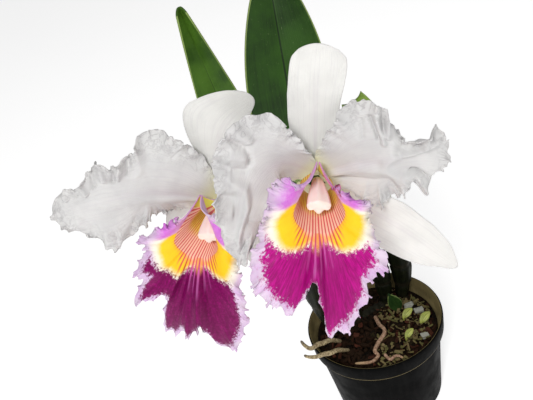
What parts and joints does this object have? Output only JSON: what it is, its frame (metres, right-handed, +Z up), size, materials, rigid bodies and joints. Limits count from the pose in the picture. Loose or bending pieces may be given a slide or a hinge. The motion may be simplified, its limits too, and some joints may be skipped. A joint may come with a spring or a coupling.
{
  "type": "cattleya orchid in a pot",
  "caption": "Cattleya orchid with white ruffled flowers, magenta and yellow lips, strap leaves and aerial roots, growing in a black nursery pot.",
  "frame": {"origin": "middle of the pot's underside, on the surface it stands on", "axes": "+Z up; the front, towards which the blooms face, is -Y"},
  "size_m": [0.2347, 0.2594, 0.4083],
  "materials": {
    "petal": "matte",
    "sepal": "matte",
    "lip": "matte",
    "column": "satin",
    "leaf": "satin",
    "bulb": "satin",
    "stem": "satin",
    "sheath": "matte",
    "root": "matte",
    "seedling": "matte",
    "grit": "matte",
    "pot": "satin",
    "mix": "matte"
  },
  "bodies": {
    "root": {"pot": "pot", "potting_mix": "mix", "grit_1": "grit", "grit_2": "grit", "grit_3": "grit", "rhizome": "bulb", "flowering_pseudobulb": "bulb", "left_pseudobulb": "bulb", "back_pseudobulb": "bulb", "old_pseudobulb": "bulb", "centre_leaf": "leaf", "left_leaf": "leaf", "back_leaf": "leaf", "young_leaf": "leaf", "long_root": "root", "short_root": "root", "upper_rim_root": "root", "lower_rim_root": "root", "seedling_1": "seedling", "seedling_2": "seedling", "seedling_3": "seedling", "flower_stem": "stem", "sheath": "sheath", "front_dorsal_sepal": "sepal", "front_left_sepal": "sepal", "front_right_sepal": "sepal", "front_left_petal": "petal", "front_right_petal": "petal", "front_lip": "lip", "front_column": "column", "side_dorsal_sepal": "sepal", "side_left_sepal": "sepal", "side_right_sepal": "sepal", "side_left_petal": "petal", "side_right_petal": "petal", "side_lip": "lip", "side_column": "column"}
  },
  "joints": []
}
